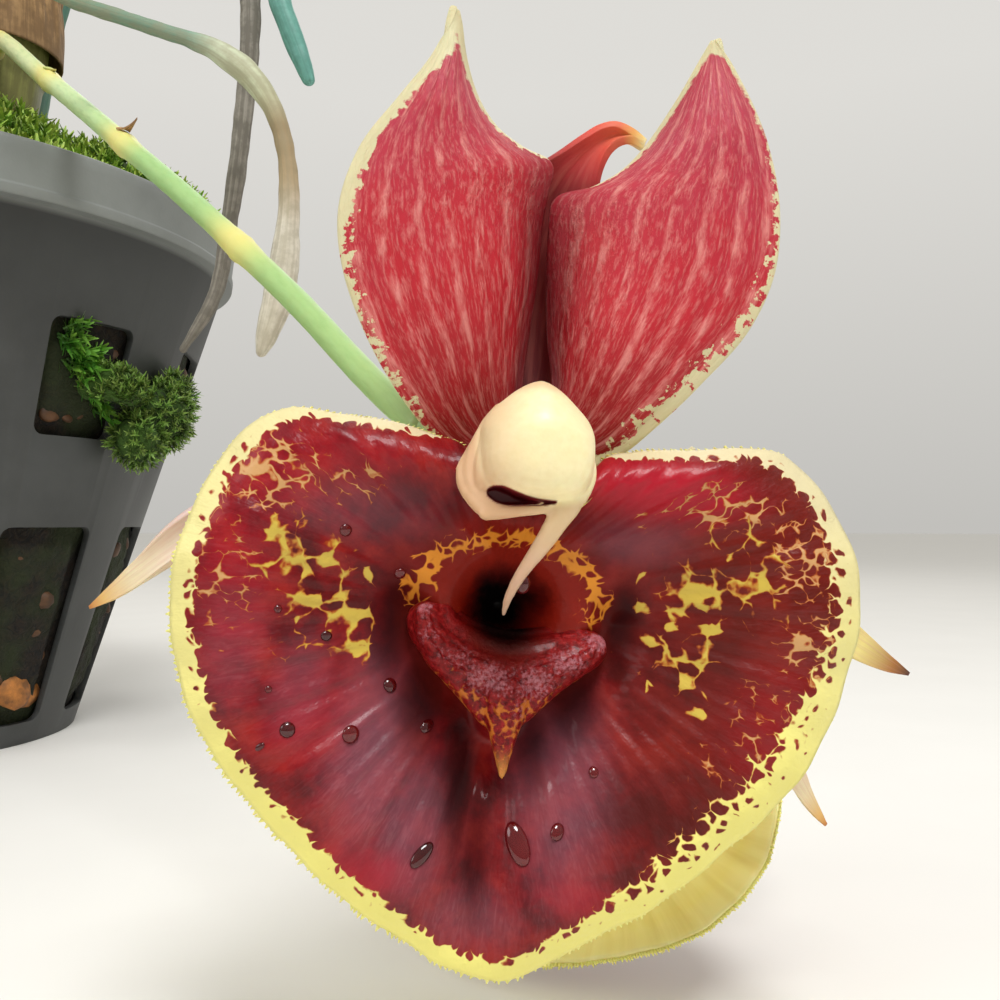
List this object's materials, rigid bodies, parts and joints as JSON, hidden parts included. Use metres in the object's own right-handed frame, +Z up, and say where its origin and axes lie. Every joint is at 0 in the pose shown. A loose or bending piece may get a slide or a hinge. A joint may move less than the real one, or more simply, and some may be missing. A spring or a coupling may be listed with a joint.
{
  "type": "catasetum orchid in basket",
  "caption": "Leafless orchid with ribbed bulbs in moss in a slotted basket, an arching stem carrying wide net-marked maroon blooms with upright petals.",
  "frame": {"origin": "centre of the basket's underside, on the surface it stands on", "axes": "+Z up the basket's axis; -Y towards the side that the front bloom faces; the flower stem leaves towards +X and -Y"},
  "size_m": [0.3041, 0.2769, 0.2926],
  "materials": {
    "basket_plastic": "satin dark grey moulded plastic",
    "moss": "damp green and olive moss over planting mix",
    "bulb": "ribbed olive-tan skin",
    "sheath": "dry papery tan",
    "stem": "smooth pale green with yellow joints",
    "root_grey": "matte grey root skin",
    "root_pale": "matte whitish root skin",
    "root_teal": "damp blue-green root tip",
    "lip": "waxy maroon with a yellow rim and yellow net",
    "petal": "satin crimson with pale stripes and a cream rim",
    "sepal": "satin pinkish cream to red",
    "column": "waxy cream"
  },
  "bodies": {
    "root": {"basket": "basket_plastic", "moss_bed": "moss", "pseudobulb_lead": "bulb", "sheath_lead": "sheath", "pseudobulb_middle": "bulb", "sheath_middle": "sheath", "pseudobulb_old": "bulb", "sheath_old": "sheath", "aerial_root_1": "root_grey", "aerial_root_2": "root_pale", "aerial_root_3": "root_teal", "flower_stem": "stem", "front_lip": "lip", "front_petal_left": "petal", "front_petal_right": "petal", "front_sepal_dorsal": "sepal", "front_sepal_left": "sepal", "front_sepal_right": "sepal", "front_column": "column", "rear_lip": "lip", "rear_petal_left": "petal", "rear_petal_right": "petal", "rear_sepal_dorsal": "sepal", "rear_sepal_left": "sepal", "rear_sepal_right": "sepal", "rear_column": "column"}
  },
  "joints": []
}
